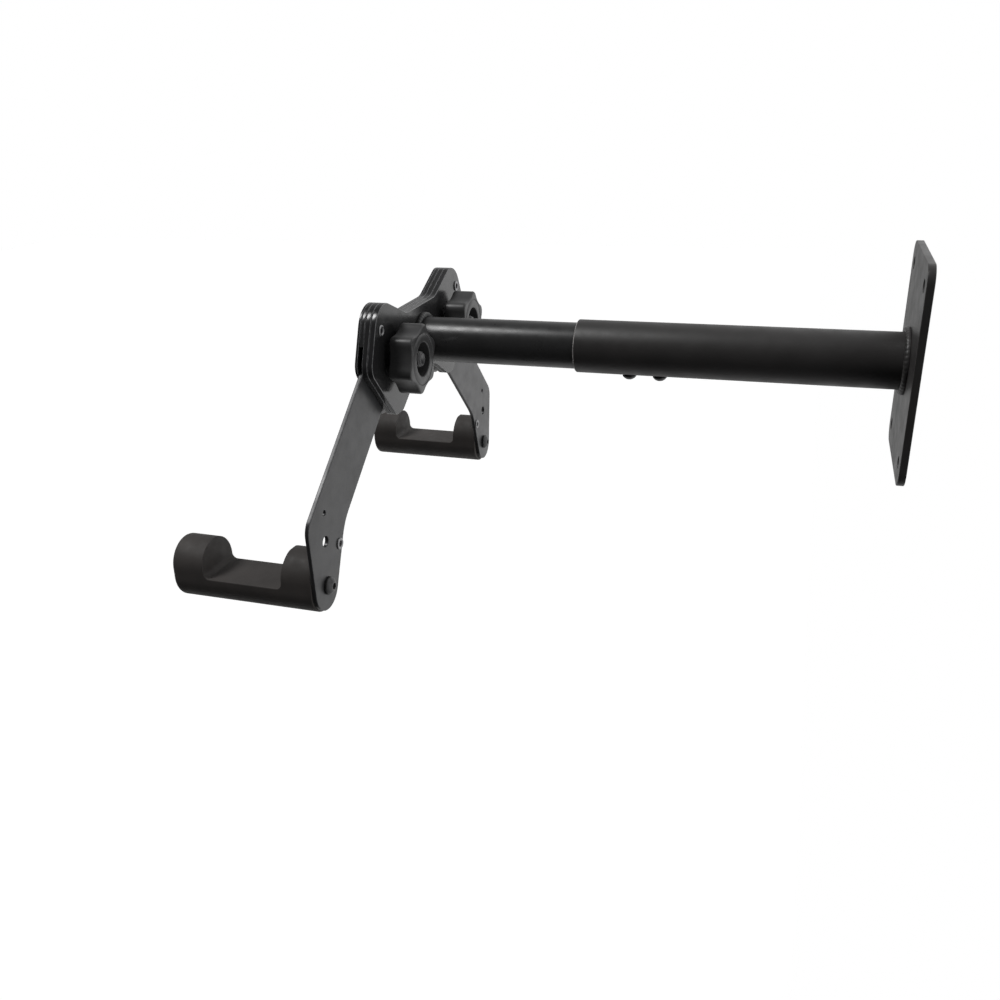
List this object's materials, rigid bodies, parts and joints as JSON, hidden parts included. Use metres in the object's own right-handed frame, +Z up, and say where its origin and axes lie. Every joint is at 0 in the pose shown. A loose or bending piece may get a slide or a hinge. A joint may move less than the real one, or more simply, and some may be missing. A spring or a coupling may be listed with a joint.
{
  "type": "wall bike holder",
  "caption": "Telescopic wall-mounted boom with a plate head, two clamped folding arms and a saddle-cut cradle on each arm, for hanging a bicycle by its top tube.",
  "frame": {"origin": "middle of the wall plate's back face, on the boom's axis", "axes": "+Z up, +Y into the wall, so the boom reaches out along -Y; +X to the right of someone who faces the wall"},
  "size_m": [0.3836, 0.4869, 0.2414],
  "materials": {
    "powder_coat": "satin black powder coat on steel",
    "plate_coat": "matte black powder coat on laser-cut steel",
    "arm_coat": "matte dark grey powder coat on laser-cut steel",
    "knob_plastic": "moulded, slightly glossy",
    "cradle_rubber": "moulded, matte",
    "black_screw": "black oxide",
    "zinc_steel": "zinc plated"
  },
  "bodies": {
    "wall_unit": {"wall_plate": "powder_coat", "sleeve": "powder_coat", "sleeve_weld": "powder_coat"},
    "boom": {"inner_tube": "powder_coat", "tube_weld": "powder_coat", "rear_plate": "plate_coat", "pressure_plate": "plate_coat", "spacer_plate": "plate_coat", "front_plate": "plate_coat", "right_corner_rivet": "zinc_steel", "left_corner_rivet": "zinc_steel", "right_pivot_bolt": "black_screw", "left_pivot_bolt": "black_screw"},
    "front_lock_screw_turning": {"front_lock_screw": "black_screw"},
    "rear_lock_screw_turning": {"rear_lock_screw": "black_screw"},
    "clamp_bar_lifting": {"clamp_bar": "zinc_steel"},
    "right_arm_swinging": {"right_arm": "arm_coat", "right_arm_rivet": "zinc_steel"},
    "left_arm_swinging": {"left_arm": "arm_coat", "left_arm_rivet": "zinc_steel"},
    "right_cradle_turning": {"right_cradle": "cradle_rubber", "right_cradle_screw": "black_screw"},
    "left_cradle_turning": {"left_cradle": "cradle_rubber", "left_cradle_screw": "black_screw"},
    "right_washer_sliding": {"right_knob_washer": "zinc_steel"},
    "left_washer_sliding": {"left_knob_washer": "zinc_steel"},
    "right_knob_turning": {"right_knob": "knob_plastic", "right_knob_insert": "zinc_steel"},
    "left_knob_turning": {"left_knob": "knob_plastic", "left_knob_insert": "zinc_steel"}
  },
  "joints": [
    {"name": "boom_slide", "type": "slide", "parent": "wall_unit", "child": "boom", "axis": [0, -1, 0], "range_m": [-0.03, 0.06]},
    {"name": "front_lock_screw_turn", "type": "hinge", "parent": "wall_unit", "child": "front_lock_screw_turning", "pos_m": [0, -0.198, -0.0203], "axis": [0, 0, -1], "range_deg": [0, 180]},
    {"name": "rear_lock_screw_turn", "type": "hinge", "parent": "wall_unit", "child": "rear_lock_screw_turning", "pos_m": [0, -0.175, -0.0203], "axis": [0, 0, -1], "range_deg": [0, 180]},
    {"name": "clamp_bar_lift", "type": "slide", "parent": "wall_unit", "child": "clamp_bar_lifting", "axis": [0, 0, 1], "range_m": [0, 0.0005]},
    {"name": "right_arm_swing", "type": "hinge", "parent": "boom", "child": "right_arm_swinging", "pos_m": [0.057, -0.3751, 0], "axis": [0, 1, 0], "range_deg": [-26.6, 53.4]},
    {"name": "left_arm_swing", "type": "hinge", "parent": "boom", "child": "left_arm_swinging", "pos_m": [-0.057, -0.3751, 0], "axis": [0, -1, 0], "range_deg": [-36, 44]},
    {"name": "right_cradle_turn", "type": "hinge", "parent": "right_arm_swinging", "child": "right_cradle_turning", "pos_m": [0.18111, -0.3769, -0.12892], "axis": [0, 1, 0], "continuous": true},
    {"name": "left_cradle_turn", "type": "hinge", "parent": "left_arm_swinging", "child": "left_cradle_turning", "pos_m": [-0.15839, -0.3769, -0.14746], "axis": [0, 1, 0], "continuous": true},
    {"name": "right_washer_slide", "type": "slide", "parent": "boom", "child": "right_washer_sliding", "axis": [0, 1, 0], "range_m": [0, 0.0016]},
    {"name": "right_knob_turn", "type": "hinge", "parent": "right_washer_sliding", "child": "right_knob_turning", "pos_m": [0.057, -0.3526, 0], "axis": [0, 1, 0], "range_deg": [-10, 400]},
    {"name": "left_washer_slide", "type": "slide", "parent": "boom", "child": "left_washer_sliding", "axis": [0, 1, 0], "range_m": [0, 0.0016]},
    {"name": "left_knob_turn", "type": "hinge", "parent": "left_washer_sliding", "child": "left_knob_turning", "pos_m": [-0.057, -0.3526, 0], "axis": [0, 1, 0], "range_deg": [-10, 400]}
  ],
  "couplings": [
    {"joint": "right_knob_turn", "follows": "right_washer_slide", "rad_per_m": 4188},
    {"joint": "left_knob_turn", "follows": "left_washer_slide", "rad_per_m": 4188}
  ]
}
